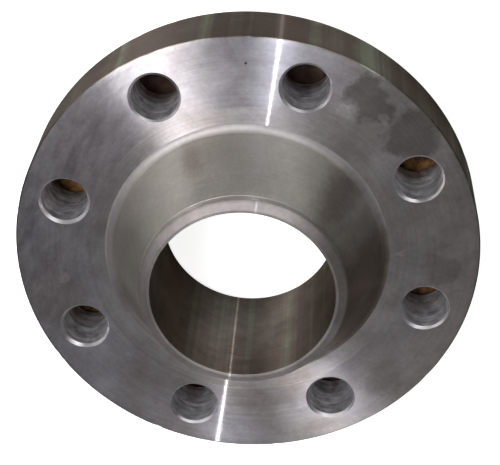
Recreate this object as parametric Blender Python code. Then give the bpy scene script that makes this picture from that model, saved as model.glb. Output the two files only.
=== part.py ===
"""A weld neck flange for a 114.3 mm pipe: one steel forging, turned all over and drilled.

Frame: metres, +Z up along the bore. The origin is the centre of the gasket seat, so the flange
lies on its raised face with the weld end on top. The bolt holes straddle the X and Y axes.
"""

import math

import bpy

# Rim
FLANGE_OD = 0.270
RIM_THICKNESS = 0.0395
RIM_EDGE_BREAK = 0.0008

# Raised gasket face, as on a 4 inch flange of the pressure classes up to 300
RAISED_FACE_OD = 0.1572
RAISED_FACE_HEIGHT = 0.0016

# Bolting
BOLT_CIRCLE = 0.220
BOLT_COUNT = 8
BOLT_HOLE = 0.027
HOLE_CHAMFER = 0.0014

# Hub, from the rim's upper face to the weld end
HUB_PROJECTION = 0.0478
HUB_BASE_OD = 0.1592
HUB_FILLET = 0.0055
NECK_STRAIGHT = 0.0047

# Weld end, at the 2.4 mm oversize that a 114.3 mm neck may have, with a bevel down to a narrow land
NECK_OD = 0.1167
NECK_WALL = 0.00655
BEVEL_ANGLE = math.radians(30)
BEVEL_LAND = 0.0016

# Chamfer where the bore meets the gasket seat
BORE_CHAMFER = 0.0025

# Facets
BODY_SEGMENTS = 128
HOLE_SEGMENTS = 40
FILLET_STEPS = 5

SMOOTH_ANGLE = math.radians(20)

# Levels and radii that follow from the sizes above
FACE_Z = RAISED_FACE_HEIGHT + RIM_THICKNESS
WELD_Z = FACE_Z + HUB_PROJECTION
BORE_R = NECK_OD / 2 - NECK_WALL
LAND_R = BORE_R + BEVEL_LAND
BEVEL_Z = WELD_Z - (NECK_OD / 2 - LAND_R) * math.tan(BEVEL_ANGLE)
CONE_TOP_Z = BEVEL_Z - NECK_STRAIGHT


def remove_everything():
    """Empty the file of objects."""
    for item in list(bpy.data.objects):
        bpy.data.objects.remove(item, do_unlink=True)


def forged_steel():
    """Bare turned carbon steel with a thin film of oil."""
    steel = bpy.data.materials.new("turned_steel")
    steel.use_nodes = True
    shader = steel.node_tree.nodes["Principled BSDF"]
    shader.inputs["Base Color"].default_value = (0.27, 0.25, 0.24, 1.0)
    shader.inputs["Metallic"].default_value = 1.0
    shader.inputs["Roughness"].default_value = 0.36
    return steel


def hub_fillet():
    """Points (radius, height) of the fillet between the cone and the rim's face, top to bottom.

    The fillet is an arc of radius HUB_FILLET that is tangent to the cone and to the face.
    """
    rise = CONE_TOP_Z - FACE_Z
    cone_tilt = math.atan2(HUB_BASE_OD / 2 - NECK_OD / 2, rise)
    turn = math.pi / 2 - cone_tilt
    reach = HUB_FILLET * math.tan(turn / 2)
    centre_r = HUB_BASE_OD / 2 + reach
    centre_z = FACE_Z + HUB_FILLET
    points = []
    for step in range(FILLET_STEPS + 1):
        angle = turn * (1 - step / FILLET_STEPS)
        r = centre_r - HUB_FILLET * math.sin(angle)
        z = centre_z - HUB_FILLET * math.cos(angle)
        points.append((r, z))
    return points


def flange_outline():
    """The turned section as (radius, height), from the bore over the top and down the outside."""
    rim_r = FLANGE_OD / 2
    seat_r = RAISED_FACE_OD / 2
    outline = [
        (BORE_R, BORE_CHAMFER),
        (BORE_R, WELD_Z),
        (LAND_R, WELD_Z),
        (NECK_OD / 2, BEVEL_Z),
        (NECK_OD / 2, CONE_TOP_Z),
    ]
    outline += hub_fillet()
    outline += [
        (rim_r - RIM_EDGE_BREAK, FACE_Z),
        (rim_r, FACE_Z - RIM_EDGE_BREAK),
        (rim_r, RAISED_FACE_HEIGHT + RIM_EDGE_BREAK),
        (rim_r - RIM_EDGE_BREAK, RAISED_FACE_HEIGHT),
        (seat_r, RAISED_FACE_HEIGHT),
        (seat_r, 0.0),
        (BORE_R + BORE_CHAMFER, 0.0),
    ]
    return outline


def drill_outline():
    """The section of one bolt hole with a chamfer at each face, from its top down to its foot.

    Both ends run past the faces along the chamfer's own slope, so that the cut opens cleanly.
    """
    hole_r = BOLT_HOLE / 2
    past = HOLE_CHAMFER
    wide_r = hole_r + HOLE_CHAMFER + past
    return [
        (0.0, FACE_Z + past),
        (wide_r, FACE_Z + past),
        (hole_r, FACE_Z - HOLE_CHAMFER),
        (hole_r, RAISED_FACE_HEIGHT + HOLE_CHAMFER),
        (wide_r, RAISED_FACE_HEIGHT - past),
        (0.0, RAISED_FACE_HEIGHT - past),
    ]


def turned(name, outline, segments, closed):
    """A solid turned round its own Z axis from an outline that runs down its outer side.

    A closed outline makes a ring. An open one starts and ends on the axis and makes a plug.
    """
    points = [(r, 0.0, z) for r, z in outline]
    edges = [(i, i + 1) for i in range(len(points) - 1)]
    if closed:
        edges.append((len(points) - 1, 0))
    mesh = bpy.data.meshes.new(name)
    mesh.from_pydata(points, edges, [])
    solid = bpy.data.objects.new(name, mesh)
    bpy.context.collection.objects.link(solid)
    screw = solid.modifiers.new("Turn", "SCREW")
    screw.axis = "Z"
    screw.steps = segments
    screw.render_steps = segments
    screw.use_merge_vertices = True
    screw.merge_threshold = 0.00001
    screw.use_smooth_shade = False
    return solid


def bolt_drill(index):
    """One of the cutters of the bolt circle."""
    drill = turned("bolt_drill_%d" % (index + 1), drill_outline(), HOLE_SEGMENTS, closed=False)
    angle = 2 * math.pi * (index + 0.5) / BOLT_COUNT
    x = BOLT_CIRCLE / 2 * math.cos(angle)
    y = BOLT_CIRCLE / 2 * math.sin(angle)
    drill.location = (x, y, 0.0)
    drill.hide_render = True
    drill.display_type = "WIRE"
    return drill


def weld_neck_flange():
    """The whole forging: the turned ring, cut by each drill of the bolt circle."""
    flange = turned("weld_neck_flange", flange_outline(), BODY_SEGMENTS, closed=True)
    flange.data.materials.append(forged_steel())
    for index in range(BOLT_COUNT):
        cut = flange.modifiers.new("Bolt hole %d" % (index + 1), "BOOLEAN")
        cut.operation = "DIFFERENCE"
        cut.solver = "EXACT"
        cut.object = bolt_drill(index)
    return flange


def apply_and_smooth(flange):
    """Turn the cuts into plain mesh, then shade it smooth except at the machined edges."""
    evaluated = flange.evaluated_get(bpy.context.evaluated_depsgraph_get())
    mesh = bpy.data.meshes.new_from_object(evaluated)
    flange.modifiers.clear()
    flange.data = mesh
    mesh.name = flange.name
    mesh.shade_smooth()
    mesh.set_sharp_from_angle(angle=SMOOTH_ANGLE)


remove_everything()
apply_and_smooth(weld_neck_flange())
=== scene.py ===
"""Looks of the weld neck flange: one turned and drilled forging, on a plain studio floor.

Every length is in metres, in the CAD frame: +Z runs up the bore, and the flange lies on its gasket
seat at z = 0. The visible mesh is made here in mesh code, to the CAD part's own sizes, with what the
CAD leaves out: drilling ridges in the bolt holes, the gasket seat's grooves, the turned recess round
the hub, the shoulder between cone and neck, rolled and rounded edges, and small knocks.
"""

import math
import random

import bmesh
import bpy
from mathutils import Matrix, Vector


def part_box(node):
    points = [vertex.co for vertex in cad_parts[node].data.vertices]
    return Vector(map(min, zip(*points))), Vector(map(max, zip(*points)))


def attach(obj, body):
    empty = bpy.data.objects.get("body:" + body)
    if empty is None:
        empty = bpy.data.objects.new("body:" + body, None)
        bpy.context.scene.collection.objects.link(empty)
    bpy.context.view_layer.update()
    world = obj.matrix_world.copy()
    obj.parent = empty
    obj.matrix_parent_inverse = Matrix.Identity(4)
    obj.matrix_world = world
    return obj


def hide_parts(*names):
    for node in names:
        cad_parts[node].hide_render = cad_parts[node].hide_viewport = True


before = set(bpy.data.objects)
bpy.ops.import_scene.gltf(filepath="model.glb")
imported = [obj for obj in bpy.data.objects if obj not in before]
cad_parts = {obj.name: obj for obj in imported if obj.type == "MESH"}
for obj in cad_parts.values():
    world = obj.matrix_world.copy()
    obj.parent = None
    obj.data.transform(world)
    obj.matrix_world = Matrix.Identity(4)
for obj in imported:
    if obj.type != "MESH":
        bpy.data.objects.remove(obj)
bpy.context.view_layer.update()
NODE = "weld_neck_flange"
_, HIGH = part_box(NODE)

# Sizes of the forging, as in the CAD. The rim's radius and the height are read from the CAD part.
RIM_R = HIGH.x
WELD_Z = HIGH.z
HUB_PROJECTION = 0.0478
FACE_Z = WELD_Z - HUB_PROJECTION
SEAT_HEIGHT = 0.0016
SEAT_R = 0.0786
BORE_R = 0.0518
NECK_R = 0.05835
LAND = 0.0016
BEVEL_ANGLE = math.radians(30)
NECK_STRAIGHT = 0.0047
HUB_BASE_R = 0.0796
HUB_FILLET = 0.0055
BORE_CHAMFER = 0.0025
EDGE_BREAK = 0.0008
BOLT_COUNT = 8
BOLT_CIRCLE_R = 0.110
HOLE_R = 0.0135
HOLE_CHAMFER = 0.0014

# Fine work that only the visible mesh has
RECESS_R = 0.0930
RECESS_DEPTH = 0.00012
SHOULDER = 0.00025
SOFT_EDGE = 0.0002
ROLLED_EDGE = 0.0005
GROOVE_PITCH = 0.0010
GROOVE_DEPTH = 0.00006
GROOVE_MARGIN = 0.0010

# Bolt holes: how far a countersink runs off the drill's centre, and the drilling ridges. Lean and
# wander are in ridges, and the wander changes every WANDER_PITCH of height.
COUNTERSINK_DRIFT = (0.0001, 0.0004)
RIDGE_PITCH = 0.0028
RIDGE_HEIGHT = 0.00038
RIDGE_LEAN = 0.35
RIDGE_WANDER = 0.2
WANDER_PITCH = 0.004
NOISE_LENGTH = 64
FIRST_HOLE_SEED = 100

# Knocks on the rim's edges: how many, the share on the upper edge, half their length, and depth
KNOCKS = 26
KNOCKS_ABOVE = 0.6
KNOCK_REACH = (0.0015, 0.0040)
KNOCK_DEPTH = (0.00015, 0.0004)
KNOCK_SEED = 7

# Facets of one bolt's sector: round it, along its side, from its border to the hole, and down the
# hole. The field's rings crowd towards the hole by the power FIELD_EASE.
SECTOR_STEPS = 40
SIDE_STEPS = 16
FIELD_STEPS = 6
FIELD_EASE = 1.4
WALL_STEPS = 34

# Facets along the outline's longer stretches
BORE_STEPS = 14
CONE_STEPS = 10
FILLET_STEPS = 12
RIM_STEPS = 12
ROUND_STEPS = 4

MERGE_DISTANCE = 0.000002
SHARP_ANGLE = math.radians(24)

# Finishes, in the order of the mesh's material slots
FACE, HUB, BEVEL, BORE, HOLE, CHAMFER, RIM, SEAT, FILLET, RECESS = range(10)

LAND_R = BORE_R + LAND
BEVEL_Z = WELD_Z - (NECK_R - LAND_R) * math.tan(BEVEL_ANGLE)
CONE_TOP_Z = BEVEL_Z - NECK_STRAIGHT
SECTOR = 2 * math.pi / BOLT_COUNT

# The field that the bolt holes cut, between these radii on the face and underneath. A plain ring
# is turned along its inner border.
FACE_RING = 0.0008
FOOT_RING = 0.0004
FIELD_IN_TOP = RECESS_R + FACE_RING
FIELD_IN_FOOT = SEAT_R + FOOT_RING
FIELD_OUT = RIM_R - EDGE_BREAK


# Outlines ---------------------------------------------------------------------------------------


def run(start, end, steps):
    """Points (radius, height) from start to end, both included, with steps facets between them."""
    (r0, z0), (r1, z1) = start, end
    return [(r0 + (r1 - r0) * i / steps, z0 + (z1 - z0) * i / steps) for i in range(steps + 1)]


def arc(centre, radius, first, last, steps):
    """Points of an arc in the (radius, height) plane, with its angles in radians from +radius."""
    points = []
    for i in range(steps + 1):
        angle = first + (last - first) * i / steps
        points.append((centre[0] + radius * math.cos(angle), centre[1] + radius * math.sin(angle)))
    return points


def hub_fillet():
    """The arc from the cone to the face, tangent to both, from the cone outwards."""
    rise = CONE_TOP_Z - FACE_Z
    tilt = math.atan2(HUB_BASE_R - NECK_R, rise)
    turn = math.pi / 2 - tilt
    reach = HUB_FILLET * math.tan(turn / 2)
    centre = (HUB_BASE_R + reach, FACE_Z + HUB_FILLET)
    return arc(centre, HUB_FILLET, -math.pi / 2 - turn, -math.pi / 2, FILLET_STEPS)


def hub_outline():
    """Stretches (finish, points) from the bore's foot, over the weld end, down to the bolt field."""
    bore_top = (BORE_R, WELD_Z - SOFT_EDGE)
    land_in = (BORE_R + SOFT_EDGE, WELD_Z)
    land_out = (LAND_R, WELD_Z)
    bevel_foot = (NECK_R - ROLLED_EDGE, BEVEL_Z + SOFT_EDGE)
    neck_top = (NECK_R, BEVEL_Z - ROLLED_EDGE)
    cone_slope = (CONE_TOP_Z - FACE_Z) / (HUB_BASE_R - NECK_R)
    shoulder_z = CONE_TOP_Z - SHOULDER * cone_slope
    fillet = [(r, z - RECESS_DEPTH) for r, z in hub_fillet()]
    recess_z = FACE_Z - RECESS_DEPTH
    lip = RECESS_R - RECESS_DEPTH
    return [
        (BORE, run((BORE_R, BORE_CHAMFER), bore_top, BORE_STEPS)),
        (BEVEL, run(bore_top, land_in, 1)),
        (BEVEL, run(land_in, land_out, 2)),
        (BEVEL, run(land_out, bevel_foot, 4)),
        (BEVEL, run(bevel_foot, neck_top, 1)),
        (HUB, run(neck_top, (NECK_R, shoulder_z), 2)),
        (HUB, run((NECK_R, shoulder_z), (NECK_R + SHOULDER, shoulder_z), 1)),
        (HUB, run((NECK_R + SHOULDER, shoulder_z), fillet[0], CONE_STEPS)),
        (FILLET, fillet),
        (RECESS, run(fillet[-1], (lip, recess_z), 4)),
        (RECESS, run((lip, recess_z), (RECESS_R, FACE_Z), 1)),
        (FACE, run((RECESS_R, FACE_Z), (FIELD_IN_TOP, FACE_Z), 1)),
    ]


def rim_outline():
    """Stretches from the bolt field over the rim to the field underneath, with rounded breaks."""
    inner = RIM_R - EDGE_BREAK
    top = (inner, FACE_Z - EDGE_BREAK)
    foot = (inner, SEAT_HEIGHT + EDGE_BREAK)
    return [
        (RIM, arc(top, EDGE_BREAK, math.pi / 2, 0, ROUND_STEPS)),
        (RIM, run((RIM_R, top[1]), (RIM_R, foot[1]), RIM_STEPS)),
        (RIM, arc(foot, EDGE_BREAK, 0, -math.pi / 2, ROUND_STEPS)),
    ]


def seat_outline():
    """Stretches from the field underneath, over the raised face's grooves, to the bore's foot."""
    inner = BORE_R + BORE_CHAMFER
    outer = SEAT_R - SOFT_EDGE
    grooves = int((outer - inner - 2 * GROOVE_MARGIN) / GROOVE_PITCH)
    ridges = [(outer, 0.0)]
    for i in range(grooves):
        r = outer - GROOVE_MARGIN - i * GROOVE_PITCH
        ridges.append((r, 0.0))
        ridges.append((r - GROOVE_PITCH / 2, GROOVE_DEPTH))
    ridges.append((outer - GROOVE_MARGIN - grooves * GROOVE_PITCH, 0.0))
    ridges.append((inner, 0.0))
    return [
        (SEAT, run((FIELD_IN_FOOT, SEAT_HEIGHT), (SEAT_R, SEAT_HEIGHT), 1)),
        (SEAT, run((SEAT_R, SEAT_HEIGHT), (SEAT_R, SOFT_EDGE), 1)),
        (SEAT, run((SEAT_R, SOFT_EDGE), (outer, 0.0), 1)),
        (SEAT, ridges),
        (SEAT, run((inner, 0.0), (BORE_R, BORE_CHAMFER), 3)),
    ]


# Mesh -------------------------------------------------------------------------------------------


class Shell:
    """Points and four-sided faces, each face with its finish."""

    def __init__(self):
        self.points = []
        self.faces = []
        self.finishes = []

    def loop(self, points):
        """Adds a closed loop of points, and returns their indices."""
        first = len(self.points)
        self.points += points
        return list(range(first, len(self.points)))

    def bridge(self, a, b, finish):
        """Joins two loops of as many points with faces."""
        for i in range(len(a)):
            j = (i + 1) % len(a)
            self.faces.append((a[i], a[j], b[j], b[i]))
            self.finishes.append(finish)


def circle(radius, z, angles):
    """Points at the angles round the bore's axis."""
    return [(radius * math.cos(angle), radius * math.sin(angle), z) for angle in angles]


def turn(shell, outline):
    """Revolves an outline's stretches round the bore's axis."""
    angles = [SECTOR * i / SECTOR_STEPS for i in range(SECTOR_STEPS * BOLT_COUNT)]
    for finish, points in outline:
        loops = [shell.loop(circle(r, z, angles)) for r, z in points]
        for a, b in zip(loops, loops[1:]):
            shell.bridge(a, b, finish)


def sector_border(index, inner_r, outer_r, z):
    """Points round one bolt's share of the field: along its foot, out, back along its top, and in."""
    first = SECTOR * index
    last = first + SECTOR
    polar = [(inner_r, first + SECTOR * i / SECTOR_STEPS) for i in range(SECTOR_STEPS)]
    polar += [(inner_r + (outer_r - inner_r) * i / SIDE_STEPS, last) for i in range(SIDE_STEPS)]
    polar += [(outer_r, last - SECTOR * i / SECTOR_STEPS) for i in range(SECTOR_STEPS)]
    polar += [(outer_r + (inner_r - outer_r) * i / SIDE_STEPS, first) for i in range(SIDE_STEPS)]
    return [(r * math.cos(a), r * math.sin(a), z) for r, a in polar]


def value_noise(rng, count):
    """A smooth random function between -1 and 1, with one bend per unit, that repeats every count."""
    values = [rng.uniform(-1, 1) for _ in range(count)]

    def sample(u):
        u %= count
        i = int(u)
        t = u - i
        t = t * t * (3 - 2 * t)
        return values[i % count] * (1 - t) + values[(i + 1) % count] * t

    return sample


def bolt_hole(shell, index):
    """One hole: its share of both faces, its two countersinks and its ridged wall."""
    rng = random.Random(FIRST_HOLE_SEED + index)
    middle = SECTOR * (index + 0.5)
    cx = BOLT_CIRCLE_R * math.cos(middle)
    cy = BOLT_CIRCLE_R * math.sin(middle)
    top_border = sector_border(index, FIELD_IN_TOP, FIELD_OUT, FACE_Z)
    foot_border = sector_border(index, FIELD_IN_FOOT, FIELD_OUT, SEAT_HEIGHT)
    bearings = [math.atan2(y - cy, x - cx) for x, y, _ in top_border]

    # The countersinks run a little off the drill's centre.
    lean = rng.uniform(0, 2 * math.pi)
    off = rng.uniform(*COUNTERSINK_DRIFT)
    widths = [HOLE_CHAMFER + off * math.cos(b - lean) for b in bearings]

    def ring(radii, heights):
        """Points round the hole, one at each bearing."""
        return [
            (cx + r * math.cos(b), cy + r * math.sin(b), z)
            for r, b, z in zip(radii, bearings, heights)
        ]

    def field(border, mouth, finish):
        """Faces from the sector's border in to the countersink's mouth."""
        previous = shell.loop(border)
        for step in range(1, FIELD_STEPS + 1):
            t = 1 - (1 - step / FIELD_STEPS) ** FIELD_EASE
            points = [
                tuple(p + (q - p) * t for p, q in zip(a, b)) for a, b in zip(border, mouth)
            ]
            current = shell.loop(points)
            shell.bridge(previous, current, finish)
            previous = current

    top_mouth = ring([HOLE_R + w for w in widths], [FACE_Z] * len(widths))
    foot_mouth = ring([HOLE_R + w for w in widths], [SEAT_HEIGHT] * len(widths))
    field(top_border, top_mouth, FACE)
    field(foot_border, foot_mouth, SEAT)

    feed = value_noise(rng, NOISE_LENGTH)
    wander = value_noise(rng, NOISE_LENGTH)
    phase = rng.uniform(0, 2 * math.pi)
    tops = [FACE_Z - w for w in widths]
    feet = [SEAT_HEIGHT + w for w in widths]
    wall = []
    for step in range(WALL_STEPS + 1):
        t = step / WALL_STEPS
        heights = [a + (b - a) * t for a, b in zip(tops, feet)]
        # The ridges fade out over the quarter of the wall at each end.
        fade = min(1.0, 4 * t, 4 * (1 - t))
        radii = []
        for b, z in zip(bearings, heights):
            u = z / RIDGE_PITCH + RIDGE_LEAN * math.sin(b + phase)
            u += RIDGE_WANDER * wander(z / WANDER_PITCH)
            radii.append(HOLE_R + fade * RIDGE_HEIGHT * feed(u))
        wall.append(shell.loop(ring(radii, heights)))
    for a, b in zip(wall, wall[1:]):
        shell.bridge(a, b, HOLE)
    shell.bridge(shell.loop(top_mouth), wall[0], CHAMFER)
    shell.bridge(wall[-1], shell.loop(foot_mouth), CHAMFER)


def knock_edges(mesh):
    """Small knocks on the rim's two edges, pushed in towards the rim's middle."""
    rng = random.Random(KNOCK_SEED)
    knocks = []
    for _ in range(KNOCKS):
        z = FACE_Z if rng.random() < KNOCKS_ABOVE else SEAT_HEIGHT
        where = rng.uniform(-math.pi, math.pi)
        reach = rng.uniform(*KNOCK_REACH)
        depth = rng.uniform(*KNOCK_DEPTH)
        knocks.append((where, z, reach, depth))
    band = 2 * EDGE_BREAK
    for vertex in mesh.verts:
        r = math.hypot(vertex.co.x, vertex.co.y)
        if r < RIM_R - 0.9 * EDGE_BREAK:
            continue
        angle = math.atan2(vertex.co.y, vertex.co.x)
        for where, z, reach, depth in knocks:
            along = abs((angle - where + math.pi) % (2 * math.pi) - math.pi) * RIM_R
            away = abs(vertex.co.z - z)
            if along < reach and away < band:
                push = depth * (1 - along / reach) * (1 - away / band)
                vertex.co.x -= push * vertex.co.x / r
                vertex.co.y -= push * vertex.co.y / r
                vertex.co.z += push if z == SEAT_HEIGHT else -push


def flange_mesh():
    """The whole skin of the forging, closed, with its machined edges marked sharp."""
    shell = Shell()
    turn(shell, hub_outline())
    turn(shell, rim_outline())
    turn(shell, seat_outline())
    for index in range(BOLT_COUNT):
        bolt_hole(shell, index)
    mesh = bpy.data.meshes.new("flange_skin")
    mesh.from_pydata(shell.points, [], shell.faces)
    mesh.polygons.foreach_set("material_index", shell.finishes)
    work = bmesh.new()
    work.from_mesh(mesh)
    bmesh.ops.remove_doubles(work, verts=work.verts, dist=MERGE_DISTANCE)
    bmesh.ops.recalc_face_normals(work, faces=work.faces)
    knock_edges(work)
    work.to_mesh(mesh)
    work.free()
    mesh.shade_smooth()
    mesh.set_sharp_from_angle(angle=SHARP_ANGLE)
    return mesh


# Materials --------------------------------------------------------------------------------------

# Linear RGB
MAUVE = (0.525, 0.506, 0.560)
# A warmer, slightly darker colour for the face's -x side
WARMER_TONE = (0.505, 0.462, 0.442)
# A lighter, bluish colour: painted light on the face's +x side
PLUM_LIT = (0.570, 0.538, 0.595)
OLIVE = (0.520, 0.497, 0.462)
UMBER = (0.24, 0.21, 0.19)
# Greenish colours of painted reflections, in bands on the rim and in the bore
MOSS_REFLECTION = (0.44, 0.50, 0.39)
DARK_MOSS_REFLECTION = (0.275, 0.275, 0.220)
RUST = (0.16, 0.08, 0.04)
FILM = (0.23, 0.17, 0.135)
BEVEL_GREY = (0.345, 0.315, 0.31)
BORE_BROWN = (0.225, 0.177, 0.147)
WALL_LIGHT = (0.74, 0.73, 0.76)
WALL_DARK = (0.40, 0.39, 0.40)
SINK_LIGHT = (0.64, 0.62, 0.64)
SINK_DARK = (0.50, 0.48, 0.50)
RIM_BROWN = (0.25, 0.205, 0.18)
FILLET_GREY = (0.40, 0.385, 0.395)
RECESS_MAUVE = (0.54, 0.515, 0.54)

# Noises: scale, detail and roughness
CLOUD = (42.0, 5.0, 0.62)
PATCH = (15.0, 3.0, 0.55)
SPECK = (420.0, 2.0, 0.6)
REFLECTION_FADE = (30.0, 4.0, 0.6)
GRIME = (75.0, 6.0, 0.72)
WIPE = (150.0, 5.0, 0.66)
SCRATCH_BREAKS = (70.0, 2.0, 0.5)
GLINT_GRAIN = (900.0, 1.0, 0.5)
TORN_CLOUD = (160.0, 4.0, 0.6)
RUST_CLOUD = (70.0, 4.0, 0.6)
BOARD_GRAIN = (150.0, 4.0, 0.6)

# Feed marks of the turned surfaces: their pitches, how fast they change along the cut, and height
FINE_PITCH = 0.0006
FINE_DRIFT = 1.6
BROAD_PITCH = 0.0026
BROAD_DRIFT = 1.1
RELIEF = 0.00005
SPECK_SHADE = 0.06
ROUGHNESS_SWAY = 0.03

# Painted reflections, in streaks across the cut: bends of their noise per unit of the direction round
# the axis
REFLECTION_BENDS = 8.0

# Anisotropic Rotation that turns the highlight across the cut, as a share of a full turn
ACROSS_THE_CUT = 0.25

# The finest feed marks: they spread light widely across the cut and hardly at all along it.
GLINT_ROUGHNESS = 0.188
GLINT_ANISOTROPY = 0.929
GLINT_RELIEF = 0.000005

# Height over which the fillet takes on the cone's colour
HEEL_HEIGHT = 0.0030

# The face's warmer side, by x, and its bluish side of painted light, by the distance along the side's
# direction
WARMER_FROM = -0.05
WARMER_TO = -0.12
WARMER_SHARE = 0.75
LIT_SIDE = (0.90, -0.44, 0.0)
LIT_FROM = 0.06
LIT_TO = 0.11
LIT_SHARE = 0.55

# Wipe marks on the side of painted light: the angle from +X in which they run, their length as a
# multiple of their width, and how much they lighten and darken
WIPE_TURN = math.radians(62)
WIPE_LENGTH = 3.5
WIPE_SHADE = 0.20

# Scratches: the angles in which they run, how far apart they are, their length as a multiple of
# that, the width of the noise's middle that they fill, and how much they lighten
SCRATCH_TURNS = (0.4, 2.1, 2.7)
SCRATCH_SPACING = 0.009
SCRATCH_LENGTH = 50
SCRATCH_WIDTH = 0.007
SCRATCH_GAIN = 1.22

# How strong the grime is at most
GRIME_SHARE = 0.10

# Patches and pits: bends of the edge per reach, and how far it is warped and a pit's soft edge, as
# multiples of the reach
BLOT_GRAIN = 0.7
BLOT_WARP = 2.6
PIT_SOFTNESS = 0.5

# The drilled walls' marks, fine and broad: bends per metre round the hole and up it, and weights
FINE_SMEARS = (90.0, 1100.0)
BROAD_SMEARS = (12.0, 190.0)
FINE_WEIGHT = 0.32
BROAD_WEIGHT = 0.68

# Heights between which the rust at a hole's foot fades out
RUST_FULL = 0.004
RUST_TOP = 0.020

# Patches: x, y, reach, the share of the light that they keep, and how far they turn to the stain
FACE_PATCHES = [
    (-0.0750, -0.0950, 0.0130, 0.66, 0.34),
    (-0.0995, -0.0705, 0.0140, 0.70, 0.30),
    (-0.0835, -0.0800, 0.0030, 1.45, 0.0),
    (-0.0620, -0.0860, 0.0035, 1.15, 0.0),
    (0.1100, 0.0084, 0.0030, 1.35, 0.0),
    (-0.1120, 0.0180, 0.0090, 0.86, 0.15),
    (-0.0750, 0.0900, 0.0100, 0.88, 0.15),
]
# The hub's patches, mostly on its -x side: painted shade, with a brown stain.
HUB_SHADE_AND_STAIN_PATCHES = [
    (-0.0560, 0.0430, 0.0170, 0.80, 0.85),
    (-0.0700, 0.0060, 0.0120, 0.93, 0.80),
    (-0.0560, -0.0420, 0.0060, 0.92, 0.50),
    (0.0660, 0.0200, 0.0070, 0.90, 0.50),
    (0.0240, -0.0690, 0.0030, 0.92, 0.25),
]

# Pits: x, y and reach
FACE_PITS = [
    (-0.0105, -0.1187, 0.00060),
    (0.0470, -0.0956, 0.00060),
]


class Graph:
    """Short names for the shader nodes that the finishes are made of. Colours are given as RGB."""

    def __init__(self, name):
        self.material = bpy.data.materials.new(name)
        self.material.use_nodes = True
        self.tree = self.material.node_tree
        self.shader = self.tree.nodes["Principled BSDF"]

    def node(self, kind, *inputs, **settings):
        """A new node, with its settings and then its first sockets filled in."""
        node = self.tree.nodes.new(kind)
        for key, value in settings.items():
            setattr(node, key, value)
        for socket, value in zip(node.inputs, inputs):
            self.feed(socket, value)
        return node

    def feed(self, socket, value):
        """Links a socket to value, or sets it. None leaves it as it is."""
        if value is None:
            return
        if isinstance(value, bpy.types.NodeSocket):
            self.tree.links.new(value, socket)
        elif socket.type == "RGBA":
            socket.default_value = (*value, 1.0)
        else:
            socket.default_value = value

    def place(self):
        """A point's place in its object's own coordinates, in metres."""
        return self.node("ShaderNodeTexCoord").outputs["Object"]

    def split(self, vector):
        """The outputs X, Y and Z of a vector."""
        return self.node("ShaderNodeSeparateXYZ", vector).outputs

    def vector(self, x, y, z):
        """A vector made of three numbers."""
        return self.node("ShaderNodeCombineXYZ", x, y, z).outputs[0]

    def math(self, operation, *inputs):
        """The result of an operation on numbers."""
        return self.node("ShaderNodeMath", *inputs, operation=operation).outputs[0]

    def times(self, first, second):
        """Two numbers multiplied."""
        return self.math("MULTIPLY", first, second)

    def vector_math(self, operation, *inputs, output="Vector"):
        """The result of an operation on vectors."""
        return self.node("ShaderNodeVectorMath", *inputs, operation=operation).outputs[output]

    def scale(self, vector, factor):
        """A vector or colour times a number."""
        return self.vector_math("SCALE", vector, None, None, factor)

    def noise(self, vector, scale, detail=2.0, roughness=0.5, output="Fac"):
        """Smooth random values, mostly between 0.3 and 0.7."""
        node = self.node("ShaderNodeTexNoise")
        self.feed(node.inputs["Vector"], vector)
        node.inputs["Scale"].default_value = scale
        node.inputs["Detail"].default_value = detail
        node.inputs["Roughness"].default_value = roughness
        return node.outputs[output]

    def span(self, value, low, high, to_low, to_high):
        """value's share of the way from low to high, as a number from to_low to to_high."""
        return self.node("ShaderNodeMapRange", value, low, high, to_low, to_high).outputs[0]

    def sway(self, noise, amount, low=0.3, high=0.7):
        """A factor from 1 - amount to 1 + amount, as the noise goes from low to high."""
        return self.span(noise, low, high, 1.0 - amount, 1.0 + amount)

    def tint(self, share, first, second):
        """The first colour, turned towards the second by share."""
        node = self.node("ShaderNodeMix", data_type="RGBA")
        self.feed(node.inputs["Factor"], share)
        self.feed(node.inputs["A"], first)
        self.feed(node.inputs["B"], second)
        return node.outputs["Result"]

    def bump(self, height, relief):
        """The normal of a surface with bumps of relief in metres."""
        node = self.node("ShaderNodeBump")
        node.inputs["Distance"].default_value = relief
        self.feed(node.inputs["Height"], height)
        return node.outputs["Normal"]

    def round_axis(self):
        """The way round the bore's axis, as a tangent."""
        return self.node("ShaderNodeTangent", direction_type="RADIAL", axis="Z").outputs["Tangent"]


def cut_frame(g):
    """A point of a turned surface: its place, the way round the axis, and how far across the cut."""
    place = g.place()
    split = g.split(place)
    flat = g.vector(split["X"], split["Y"], 0.0)
    radius = g.vector_math("LENGTH", flat, output="Value")
    around = g.vector_math("NORMALIZE", flat)
    return place, around, g.math("SUBTRACT", radius, split["Z"])


def blot(g, place, x, y, reach, soft):
    """1 inside an uneven patch of the given reach round (x, y), fading to 0 over its soft edge."""
    warp = g.noise(place, BLOT_GRAIN / reach, 5.0, 0.62, output="Color")
    warp = g.vector_math("SUBTRACT", warp, (0.5, 0.5, 0.5))
    moved = g.vector_math("ADD", g.scale(warp, BLOT_WARP * reach), place)
    flat = g.vector_math("MULTIPLY", moved, (1.0, 1.0, 0.0))
    away = g.vector_math("DISTANCE", flat, (x, y, 0.0), output="Value")
    return g.span(away, reach, reach + soft, 1.0, 0.0)


def stretched(g, place, turn, along, across):
    """Coordinates that run along times slower at the angle turn, and across times slower beside it."""
    node = g.node("ShaderNodeMapping", place, vector_type="TEXTURE")
    node.inputs["Rotation"].default_value = (0.0, 0.0, turn)
    node.inputs["Scale"].default_value = (along, across, 1.0)
    return node.outputs["Vector"]


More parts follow.
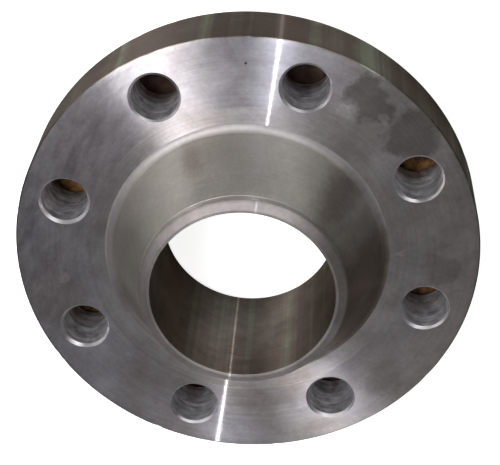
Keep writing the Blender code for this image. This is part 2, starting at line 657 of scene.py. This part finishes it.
def scratches(g, place, turn):
    """1 along thin, broken, nearly straight lines that run at the angle turn."""
    length = SCRATCH_LENGTH * SCRATCH_SPACING
    wander = g.noise(stretched(g, place, turn, length, SCRATCH_SPACING), 1.0, 0.0)
    off = g.math("ABSOLUTE", g.math("SUBTRACT", wander, 0.5))
    line = g.span(off, 0.0, SCRATCH_WIDTH, 1.0, 0.0)
    return g.times(line, g.span(g.noise(place, *SCRATCH_BREAKS), 0.55, 0.62, 0.0, 1.0))


def painted_reflection_streaks(g, place, around):
    """Painted reflections: lighter streaks across the cut, at uneven places round the axis, that fade
    in and out.
    """
    reflection = g.noise(g.scale(around, REFLECTION_BENDS), 1.0, 4.0, 0.6)
    smear_and_fade = g.span(g.noise(place, *REFLECTION_FADE), 0.35, 0.6, 0.3, 1.0)
    return g.times(g.span(reflection, 0.50, 0.64, 0.0, 0.9), smear_and_fade)


def wear_and_lit_side(g, place, colour, shade):
    """colour and shade, with scratches, a warmer -x side, bluish painted light on +x, wipe marks and
    grime.
    """
    for turn in SCRATCH_TURNS:
        nick = scratches(g, place, turn)
        shade = g.times(shade, g.span(nick, 0.0, 1.0, 1.0, SCRATCH_GAIN))
    # The face turns warmer and a little darker towards -x.
    warmed = g.span(g.split(place)["X"], WARMER_FROM, WARMER_TO, 0.0, WARMER_SHARE)
    colour = g.tint(warmed, colour, WARMER_TONE)
    # Painted light: the face turns lighter and bluish towards its +x side.
    lit_mask = g.vector_math("DOT_PRODUCT", place, LIT_SIDE, output="Value")
    lit_mask = g.span(lit_mask, LIT_FROM, LIT_TO, 0.0, 1.0)
    colour = g.tint(g.times(lit_mask, LIT_SHARE), colour, PLUM_LIT)
    wipe = g.noise(stretched(g, place, WIPE_TURN, WIPE_LENGTH, 1.0), *WIPE)
    wipe = g.times(g.span(wipe, 0.36, 0.64, -WIPE_SHADE, WIPE_SHADE), lit_mask)
    shade = g.times(shade, g.math("ADD", 1.0, wipe))
    grime = g.times(g.span(g.noise(place, *GRIME), 0.42, 0.66, 0.0, 1.0), GRIME_SHARE)
    shade = g.times(shade, g.math("SUBTRACT", 1.0, grime))
    return g.tint(grime, colour, FILM), shade


def glint(g, colour, share):
    """Mixes in the thin line of light that the finest feed marks throw across the cut."""
    fine = g.node("ShaderNodeBsdfAnisotropic", distribution="GGX")
    g.feed(fine.inputs["Color"], colour)
    fine.inputs["Roughness"].default_value = GLINT_ROUGHNESS
    fine.inputs["Anisotropy"].default_value = GLINT_ANISOTROPY
    g.feed(fine.inputs["Tangent"], g.round_axis())
    g.feed(fine.inputs["Normal"], g.bump(g.noise(g.place(), *GLINT_GRAIN), GLINT_RELIEF))
    mix = g.node("ShaderNodeMixShader", share, g.shader.outputs["BSDF"], fine.outputs["BSDF"])
    g.feed(g.tree.nodes["Material Output"].inputs["Surface"], mix.outputs["Shader"])


def turned_steel(
    name, colour, stain, roughness, anisotropy,
    marks=0.1, blotches=0.14, reflection_bands=None, stains=0.85, patches=(), softness=0.35,
    pits=(), worn_and_lit=False, shine=0.0, heel=None,
):
    """Steel cut on a lathe: rings of feed marks round the bore's axis, with stains and specks.

    colour and stain are linear RGB, marks and blotches say how strongly the rings and the clouds
    show in the colour, and the bands colour is that of painted reflections, in streaks across the cut.
    stains is how far the stains go, and softness the soft edge of the patches, per reach.
    the worn flag adds scratches, wipe marks, grime, a warmer -x side and bluish painted light on the
    +x side, and shine is the share of the light that the finest marks catch.
    heel is the colour that the steel turns to over HEEL_HEIGHT above the face.
    """
    g = Graph(name)
    place, around, across = cut_frame(g)
    turn_x, turn_y, _ = g.split(around)

    def rings(pitch, drift, detail):
        """Noise that changes every pitch across the cut, and only slowly along it."""
        step = g.math("DIVIDE", across, pitch)
        return g.noise(g.vector(step, g.times(turn_x, drift), g.times(turn_y, drift)), 1.0, detail)

    fine = rings(FINE_PITCH, FINE_DRIFT, 2.0)
    broad = rings(BROAD_PITCH, BROAD_DRIFT, 3.0)
    cloud = g.noise(place, *CLOUD)
    patch = g.noise(place, *PATCH)
    speck = g.noise(place, *SPECK)

    ringed = g.math("ADD", g.times(fine, 0.5), g.times(broad, 0.5))
    shade = g.times(g.sway(ringed, marks), g.sway(cloud, blotches))
    shade = g.times(shade, g.sway(speck, SPECK_SHADE))
    stained = g.span(g.math("MULTIPLY_ADD", cloud, 0.35, patch), 0.56, 0.86, 0.0, stains)
    mixed = colour
    if heel:
        rise = g.span(g.split(place)["Z"], FACE_Z, FACE_Z + HEEL_HEIGHT, 0.0, 1.0)
        mixed = g.tint(rise, colour, heel)
    mixed = g.tint(stained, mixed, stain)
    # Painted reflections: lighter greenish bands across the cut.
    if reflection_bands:
        mixed = g.tint(painted_reflection_streaks(g, place, around), mixed, reflection_bands)
    if worn_and_lit:
        mixed, shade = wear_and_lit_side(g, place, mixed, shade)
    for x, y, reach, keep, soil in patches:
        mask = blot(g, place, x, y, reach, softness * reach)
        shade = g.times(shade, g.span(mask, 0.0, 1.0, 1.0, keep))
        mixed = g.tint(g.times(mask, soil), mixed, stain)
    for x, y, reach in pits:
        mixed = g.tint(blot(g, place, x, y, reach, PIT_SOFTNESS * reach), mixed, RUST)
    steel = g.scale(mixed, shade)
    g.feed(g.shader.inputs["Base Color"], steel)

    rough = g.span(ringed, 0.3, 0.7, roughness - ROUGHNESS_SWAY, roughness + ROUGHNESS_SWAY)
    rough = g.math("ADD", rough, g.span(patch, 0.35, 0.7, -0.02, 0.03))
    g.feed(g.shader.inputs["Roughness"], rough)
    g.feed(g.shader.inputs["Normal"], g.bump(g.math("MULTIPLY_ADD", broad, 1.2, fine), RELIEF))
    g.feed(g.shader.inputs["Tangent"], g.round_axis())
    g.shader.inputs["Metallic"].default_value = 1.0
    g.shader.inputs["Anisotropic"].default_value = anisotropy
    g.shader.inputs["Anisotropic Rotation"].default_value = ACROSS_THE_CUT
    if shine:
        glint(g, steel, shine)
    return g.material


def drilled_steel(name, colour, stain, roughness, smears, relief):
    """Steel left by a drill: torn, with smears along the cut and rust towards the hole's foot."""
    g = Graph(name)
    place = g.place()
    split = g.split(place)

    def smears_at(along, across):
        """Noise that changes slowly round the hole and fast up it."""
        x = g.times(split["X"], along)
        y = g.times(split["Y"], along)
        return g.noise(g.vector(x, y, g.times(split["Z"], across)), 1.0, 4.0, 0.6)

    fine = g.times(smears_at(*FINE_SMEARS), FINE_WEIGHT)
    smear_and_fade = g.math("ADD", fine, g.times(smears_at(*BROAD_SMEARS), BROAD_WEIGHT))
    cloud = g.span(g.noise(place, *TORN_CLOUD), 0.35, 0.65, 0.0, 1.0)
    mixed = g.tint(cloud, colour, stain)
    low = g.span(split["Z"], RUST_FULL, RUST_TOP, 1.0, 0.0)
    rusted = g.times(low, g.span(g.noise(place, *RUST_CLOUD), 0.42, 0.60, 0.0, 0.8))
    mixed = g.tint(rusted, mixed, RUST)
    g.feed(g.shader.inputs["Base Color"], g.scale(mixed, g.sway(smear_and_fade, smears, 0.36, 0.64)))
    rough = g.span(smear_and_fade, 0.36, 0.64, roughness + 0.1, roughness - 0.1)
    g.feed(g.shader.inputs["Roughness"], rough)
    g.feed(g.shader.inputs["Normal"], g.bump(smear_and_fade, relief))
    g.shader.inputs["Metallic"].default_value = 1.0
    return g.material


def finishes():
    """The materials, in the order of the finish numbers."""
    return [
        turned_steel(
            "turned_face", MAUVE, UMBER, roughness=0.33, anisotropy=0.97, marks=0.12, blotches=0.18,
            patches=FACE_PATCHES, pits=FACE_PITS, worn_and_lit=True, shine=0.2,
        ),
        turned_steel(
            "turned_hub", OLIVE, FILM, roughness=0.46, anisotropy=0.60, marks=0.05, blotches=0.14,
            stains=0.3, patches=HUB_SHADE_AND_STAIN_PATCHES, softness=1.6,
        ),
        turned_steel(
            "weld_bevel", BEVEL_GREY, UMBER, roughness=0.60, anisotropy=0.40,
            marks=0.10, blotches=0.30, shine=0.05,
        ),
        turned_steel(
            "bored_wall", BORE_BROWN, UMBER, roughness=0.46, anisotropy=0.86,
            marks=0.08, blotches=0.28, reflection_bands=DARK_MOSS_REFLECTION, shine=0.12,
        ),
        drilled_steel(
            "drilled_wall", WALL_LIGHT, WALL_DARK, roughness=0.66, smears=0.45, relief=0.00020,
        ),
        drilled_steel(
            "countersink", SINK_LIGHT, SINK_DARK, roughness=0.42, smears=0.15, relief=0.00003,
        ),
        turned_steel(
            "turned_rim", RIM_BROWN, UMBER, roughness=0.35, anisotropy=0.90,
            marks=0.08, blotches=0.15, reflection_bands=MOSS_REFLECTION, shine=0.1,
        ),
        turned_steel("gasket_seat", MAUVE, UMBER, roughness=0.32, anisotropy=0.90),
        turned_steel(
            "turned_fillet", FILLET_GREY, FILM, roughness=0.54, anisotropy=0.50,
            marks=0.13, blotches=0.12, stains=0.3, patches=HUB_SHADE_AND_STAIN_PATCHES, softness=1.6, heel=OLIVE,
        ),
        turned_steel(
            "turned_recess", RECESS_MAUVE, UMBER, roughness=0.39, anisotropy=0.92,
            marks=0.14, blotches=0.12, worn_and_lit=True, shine=0.2,
        ),
    ]


# Stage ------------------------------------------------------------------------------------------

FLOOR_SIZE = 24.0
FLOOR_COLOUR = (0.86, 0.86, 0.86)
FLOOR_REFLECTED = (0.20, 0.18, 0.16)
FLOOR_LIFT = 1.0
WORLD_LIGHT = (0.07, 0.07, 0.07)
WORLD_SEEN = (0.9, 0.9, 0.9)

# The board under the bolt circle, dark brown: a brown surface and painted shade under the flange.
# To either side, its light parts turn to ochre between OCHRE_FROM and OCHRE_TO.
MAT_IN = 0.086
MAT_OUT = 0.131
MAT_Z = 0.0004
MAT_STEPS = 96
SHADED_BOARD_DARK = (0.035, 0.020, 0.014)
SHADED_BOARD_LIGHT = (0.075, 0.045, 0.036)
SHADED_BOARD_OCHRE = (0.24, 0.12, 0.045)
OCHRE_FROM = 0.05
OCHRE_TO = 0.10

# Soft lamps: name, azimuth and elevation in degrees, distance, width, height, and power in watts
LAMPS = [
    ("window", 49.3, 60.0, 2.0, 0.55, 0.95, 29.0),
    ("fill", -35.0, 36.0, 1.6, 1.00, 0.60, 6.4),
    ("ceiling", 164.0, 72.0, 1.6, 0.80, 0.60, 1.4),
    ("low", 62.0, 10.0, 1.6, 0.90, 0.35, 1.7),
    ("back", 178.0, 10.0, 1.8, 1.30, 0.40, 2.4),
]
FLASH = ("flash", -16.0, 66.0, 1.1, 0.009, 0.10, 2.3)
FLASH_COLOUR = (0.93, 0.96, 1.0)
WHITE = (1.0, 1.0, 1.0)
BEAM_AIM = Vector((0.023, 0.112, FACE_Z))
BEAM_OPENING = math.radians(7.5)
BEAM_POWER = 8.8
BEAM_BLEND = 0.8
BEAM_RADIUS = 0.0035

AIM = Vector((-0.0033, -0.0145, FACE_Z))
VIEW_AZIMUTH = math.radians(-10.7)
VIEW_ELEVATION = math.radians(61.97)
VIEW_ROLL = math.radians(-173.84)
VIEW_DISTANCE = 0.88
LENS = 109.8
SENSOR_WIDTH = 36.0
CLIP_NEAR = 0.01
CLIP_FAR = 100.0


def direction(azimuth, elevation):
    """A unit vector from the flange towards azimuth and elevation: azimuth 0 is -Y, 90 is +X."""
    flat = math.cos(elevation)
    return Vector((math.sin(azimuth) * flat, -math.cos(azimuth) * flat, math.sin(elevation)))


def placed(name, data):
    """A new object in the scene."""
    item = bpy.data.objects.new(name, data)
    bpy.context.collection.objects.link(item)
    return item


def sheet(name, points, faces, g):
    """A stage item with the graph's material and a dull surface."""
    g.shader.inputs["Roughness"].default_value = 0.9
    g.shader.inputs["Specular IOR Level"].default_value = 0.1
    mesh = bpy.data.meshes.new(name)
    mesh.from_pydata(points, [], faces)
    mesh.materials.append(g.material)
    return placed(name, mesh)


def floor():
    """A pale sheet, lifted to white for the camera and darker in the metal's reflections."""
    g = Graph("floor_paper")
    rays = g.node("ShaderNodeLightPath").outputs
    colour = g.tint(rays["Is Glossy Ray"], FLOOR_COLOUR, FLOOR_REFLECTED)
    g.feed(g.shader.inputs["Base Color"], colour)
    g.feed(g.shader.inputs["Emission Color"], FLOOR_COLOUR)
    g.feed(g.shader.inputs["Emission Strength"], g.times(rays["Is Camera Ray"], FLOOR_LIFT))
    half = FLOOR_SIZE / 2
    corners = [(-half, -half, 0), (half, -half, 0), (half, half, 0), (-half, half, 0)]
    plane = sheet("floor", corners, [(0, 1, 2, 3)], g)


def brown_shade_mat():
    """A ring of dark brown board in the gap under the bolt circle, seen through the bolt holes: a
    brown surface, and painted shade under the flange, where the floor is lifted to white.
    """
    g = Graph("brown_shade_board")
    place = g.place()
    grain = g.span(g.noise(place, *BOARD_GRAIN), 0.38, 0.62, 0.0, 1.0)
    sideways = g.math("ABSOLUTE", g.split(place)["X"])
    light = g.tint(g.span(sideways, OCHRE_FROM, OCHRE_TO, 0.0, 1.0), SHADED_BOARD_LIGHT, SHADED_BOARD_OCHRE)
    # Painted shade: the board is dark brown where the floor under the flange would be lifted to white.
    g.feed(g.shader.inputs["Base Color"], g.tint(grain, SHADED_BOARD_DARK, light))
    shell = Shell()
    angles = [2 * math.pi * i / MAT_STEPS for i in range(MAT_STEPS)]
    inner, outer = [shell.loop(circle(r, MAT_Z, angles)) for r in (MAT_IN, MAT_OUT)]
    shell.bridge(outer, inner, 0)
    shaded_board = sheet("brown_shade_mat", shell.points, shell.faces, g)


def lamp(name, azimuth, elevation, distance, width, height, power, colour=WHITE):
    """A rectangular lamp aimed at the flange, its height lying in the upright plane."""
    light = bpy.data.lights.new(name, "AREA")
    light.shape = "RECTANGLE"
    light.size = width
    light.size_y = height
    light.energy = power
    light.color = colour
    towards = direction(math.radians(azimuth), math.radians(elevation))
    item = placed(name, light)
    item.location = Vector((0, 0, FACE_Z)) + towards * distance
    item.rotation_mode = "QUATERNION"
    item.rotation_quaternion = towards.to_track_quat("Z", "Y")
    return item


def beam(place):
    """A small spot lamp at place, shining on the face beyond the bore."""
    light = bpy.data.lights.new("beam", "SPOT")
    light.spot_size = BEAM_OPENING
    light.spot_blend = BEAM_BLEND
    light.shadow_soft_size = BEAM_RADIUS
    light.energy = BEAM_POWER
    light.color = FLASH_COLOUR
    item = placed("beam", light)
    item.location = place
    item.rotation_mode = "QUATERNION"
    item.rotation_quaternion = (place - BEAM_AIM).to_track_quat("Z", "Y")
    return item


def lights(piece):
    """Soft lamps all round, and a flash beside the camera, with a beam on the face's far side."""
    for soft_lamp in LAMPS:
        lamp(*soft_lamp)
    flash = lamp(*FLASH, FLASH_COLOUR)
    lit = bpy.data.collections.new("lit_by_flash")
    lit.objects.link(piece)
    for item in (flash, beam(flash.location)):
        item.light_linking.receiver_collection = lit


def surroundings():
    """Dim grey light from all round, which the camera sees as near white."""
    world = bpy.data.worlds.new("studio")
    bpy.context.scene.world = world
    world.use_nodes = True
    tree = world.node_tree
    seen = tree.nodes.new("ShaderNodeLightPath")
    mix = tree.nodes.new("ShaderNodeMix")
    mix.data_type = "RGBA"
    mix.inputs["A"].default_value = (*WORLD_LIGHT, 1.0)
    mix.inputs["B"].default_value = (*WORLD_SEEN, 1.0)
    tree.links.new(seen.outputs["Is Camera Ray"], mix.inputs["Factor"])
    tree.links.new(mix.outputs["Result"], tree.nodes["Background"].inputs["Color"])


def camera():
    """The photograph's camera: above the face, and rolled so that the near rim is at the top."""
    data = bpy.data.cameras.new("camera")
    data.sensor_width = SENSOR_WIDTH
    data.lens = LENS
    data.clip_start = CLIP_NEAR
    data.clip_end = CLIP_FAR
    back = direction(VIEW_AZIMUTH, VIEW_ELEVATION)
    upright = back.to_track_quat("Z", "Y").to_matrix()
    roll = Matrix.Rotation(VIEW_ROLL, 3, "Z")
    item = placed("camera", data)
    item.location = AIM + back * VIEW_DISTANCE
    item.rotation_mode = "QUATERNION"
    item.rotation_quaternion = (upright @ roll).to_quaternion()
    bpy.context.scene.camera = item


def flange():
    """The one visible piece, which stands for the CAD part's only node."""
    mesh = flange_mesh()
    for finish in finishes():
        mesh.materials.append(finish)
    piece = placed("weld_neck_flange_skin", mesh)
    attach(piece, "root")
    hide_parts(NODE)
    return piece


camera()
floor()
brown_shade_mat()
lights(flange())
surroundings()
bpy.context.scene.view_settings.view_transform = "Standard"
